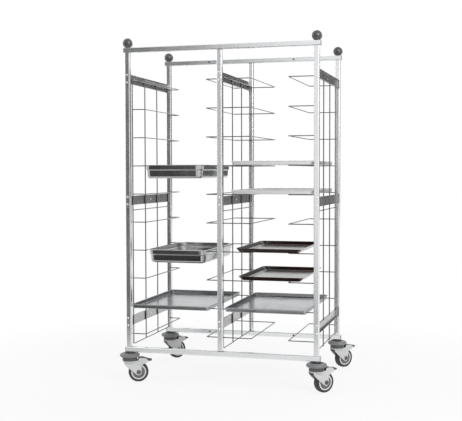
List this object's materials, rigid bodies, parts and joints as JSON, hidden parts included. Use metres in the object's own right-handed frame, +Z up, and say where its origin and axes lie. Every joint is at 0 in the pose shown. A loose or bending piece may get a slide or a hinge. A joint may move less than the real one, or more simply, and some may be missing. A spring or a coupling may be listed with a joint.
{
  "type": "tray trolley",
  "caption": "Tall open trolley of square steel tube with wire tray rests in two bays, loaded with pans and trays, on braked swivel castors.",
  "frame": {"origin": "on the floor, under the centre of the tube frame", "axes": "+Z up, +X along the trolley's length to the right bay, -Y out of the open front that the trays are pulled from"},
  "size_m": [1.087, 0.7603, 1.7145],
  "materials": {
    "ball_plastic": "dark moulded ball bumper",
    "beam_steel": "folded sheet steel, satin",
    "cap_plastic": "grey moulded end cap",
    "castor_dark": "dark grey moulded plastic",
    "castor_steel": "plated steel",
    "fork_plastic": "light grey moulded fork",
    "frame_steel": "light grey satin metallic lacquer on square steel tube",
    "guard_plastic": "mid grey moulded disc",
    "pan_steel": "satin stainless pan",
    "rim_plastic": "off-white moulded wheel centre",
    "tray_enamel": "dark brown enamel",
    "tray_steel": "satin baking sheet tray",
    "tyre_rubber": "dark grey elastic tread",
    "wire_chrome": "bright plated wire"
  },
  "bodies": {
    "frame": {"ball_bumpers": "ball_plastic", "beam_centre_bottom": "beam_steel", "beam_centre_middle": "beam_steel", "beam_centre_top": "beam_steel", "beam_left_bottom": "beam_steel", "beam_left_middle": "beam_steel", "beam_left_top": "beam_steel", "beam_right_bottom": "beam_steel", "beam_right_middle": "beam_steel", "beam_right_top": "beam_steel", "bottom_rail_back": "frame_steel", "bottom_rail_front": "frame_steel", "castor_bumpers": "castor_dark", "castor_races": "castor_dark", "castor_stems": "castor_steel", "post_back_centre": "frame_steel", "post_back_left": "frame_steel", "post_back_right": "frame_steel", "post_front_centre": "frame_steel", "post_front_left": "frame_steel", "post_front_right": "frame_steel", "rack_centre": "wire_chrome", "rack_left": "wire_chrome", "rack_right": "wire_chrome", "rail_end_caps": "cap_plastic", "top_rail_back": "frame_steel", "top_rail_front": "frame_steel"},
    "castor_front_left": {"fork_front_left": "fork_plastic", "axle_front_left": "guard_plastic", "thread_guards_front_left": "guard_plastic"},
    "wheel_front_left": {"rim_front_left": "rim_plastic", "tyre_front_left": "tyre_rubber"},
    "pedal_front_left": {"brake_pedal_front_left": "castor_dark"},
    "castor_front_right": {"fork_front_right": "fork_plastic", "axle_front_right": "guard_plastic", "thread_guards_front_right": "guard_plastic"},
    "wheel_front_right": {"rim_front_right": "rim_plastic", "tyre_front_right": "tyre_rubber"},
    "pedal_front_right": {"brake_pedal_front_right": "castor_dark"},
    "castor_back_left": {"fork_back_left": "fork_plastic", "axle_back_left": "guard_plastic", "thread_guards_back_left": "guard_plastic"},
    "wheel_back_left": {"rim_back_left": "rim_plastic", "tyre_back_left": "tyre_rubber"},
    "pedal_back_left": {"brake_pedal_back_left": "castor_dark"},
    "castor_back_right": {"fork_back_right": "fork_plastic", "axle_back_right": "guard_plastic", "thread_guards_back_right": "guard_plastic"},
    "wheel_back_right": {"rim_back_right": "rim_plastic", "tyre_back_right": "tyre_rubber"},
    "pedal_back_right": {"brake_pedal_back_right": "castor_dark"},
    "pan_upper_load": {"pan_upper": "pan_steel"},
    "pan_lower_load": {"pan_lower": "pan_steel"},
    "sheet_tray_left_low_load": {"sheet_tray_left_low": "tray_steel"},
    "sheet_tray_right_low_load": {"sheet_tray_right_low": "tray_steel"},
    "sheet_tray_right_upper_load": {"sheet_tray_right_upper": "tray_steel"},
    "sheet_tray_right_middle_load": {"sheet_tray_right_middle": "tray_steel"},
    "brown_tray_upper_load": {"brown_tray_upper": "tray_enamel"},
    "brown_tray_lower_load": {"brown_tray_lower": "tray_enamel"}
  },
  "joints": [
    {"name": "swivel_front_left", "type": "hinge", "parent": "frame", "child": "castor_front_left", "pos_m": [-0.475, -0.3025, 0.1], "axis": [0, 0, 1], "continuous": true},
    {"name": "roll_front_left", "type": "hinge", "parent": "castor_front_left", "child": "wheel_front_left", "pos_m": [-0.43635, -0.28365, 0.05], "axis": [-0.4384, 0.8988, 0], "continuous": true},
    {"name": "brake_front_left", "type": "hinge", "parent": "castor_front_left", "child": "pedal_front_left", "pos_m": [-0.42287, -0.27707, 0.104], "axis": [-0.4384, 0.8988, 0], "range_deg": [0, 12]},
    {"name": "swivel_front_right", "type": "hinge", "parent": "frame", "child": "castor_front_right", "pos_m": [0.475, -0.3025, 0.1], "axis": [0, 0, 1], "continuous": true},
    {"name": "roll_front_right", "type": "hinge", "parent": "castor_front_right", "child": "wheel_front_right", "pos_m": [0.50377, -0.27054, 0.05], "axis": [-0.7431, 0.6691, 0], "continuous": true},
    {"name": "brake_front_right", "type": "hinge", "parent": "castor_front_right", "child": "pedal_front_right", "pos_m": [0.51381, -0.2594, 0.104], "axis": [-0.7431, 0.6691, 0], "range_deg": [0, 12]},
    {"name": "swivel_back_left", "type": "hinge", "parent": "frame", "child": "castor_back_left", "pos_m": [-0.475, 0.3025, 0.1], "axis": [0, 0, 1], "continuous": true},
    {"name": "roll_back_left", "type": "hinge", "parent": "castor_back_left", "child": "wheel_back_left", "pos_m": [-0.44736, 0.33544, 0.05], "axis": [-0.766, 0.6428, 0], "continuous": true},
    {"name": "brake_back_left", "type": "hinge", "parent": "castor_back_left", "child": "pedal_back_left", "pos_m": [-0.43772, 0.34693, 0.104], "axis": [-0.766, 0.6428, 0], "range_deg": [0, 12]},
    {"name": "swivel_back_right", "type": "hinge", "parent": "frame", "child": "castor_back_right", "pos_m": [0.475, 0.3025, 0.1], "axis": [0, 0, 1], "continuous": true},
    {"name": "roll_back_right", "type": "hinge", "parent": "castor_back_right", "child": "wheel_back_right", "pos_m": [0.50377, 0.33446, 0.05], "axis": [-0.7431, 0.6691, 0], "continuous": true},
    {"name": "brake_back_right", "type": "hinge", "parent": "castor_back_right", "child": "pedal_back_right", "pos_m": [0.51381, 0.3456, 0.104], "axis": [-0.7431, 0.6691, 0], "range_deg": [0, 12]},
    {"name": "slide_pan_upper", "type": "slide", "parent": "frame", "child": "pan_upper_load", "axis": [0, -1, 0], "range_m": [0, 0.3]},
    {"name": "slide_pan_lower", "type": "slide", "parent": "frame", "child": "pan_lower_load", "axis": [0, -1, 0], "range_m": [0, 0.3]},
    {"name": "slide_sheet_tray_left_low", "type": "slide", "parent": "frame", "child": "sheet_tray_left_low_load", "axis": [0, -1, 0], "range_m": [0, 0.3]},
    {"name": "slide_sheet_tray_right_low", "type": "slide", "parent": "frame", "child": "sheet_tray_right_low_load", "axis": [0, -1, 0], "range_m": [0, 0.3]},
    {"name": "slide_sheet_tray_right_upper", "type": "slide", "parent": "frame", "child": "sheet_tray_right_upper_load", "axis": [0, -1, 0], "range_m": [0, 0.3]},
    {"name": "slide_sheet_tray_right_middle", "type": "slide", "parent": "frame", "child": "sheet_tray_right_middle_load", "axis": [0, -1, 0], "range_m": [0, 0.3]},
    {"name": "slide_brown_tray_upper", "type": "slide", "parent": "frame", "child": "brown_tray_upper_load", "axis": [0, -1, 0], "range_m": [0, 0.3]},
    {"name": "slide_brown_tray_lower", "type": "slide", "parent": "frame", "child": "brown_tray_lower_load", "axis": [0, -1, 0], "range_m": [0, 0.3]}
  ]
}
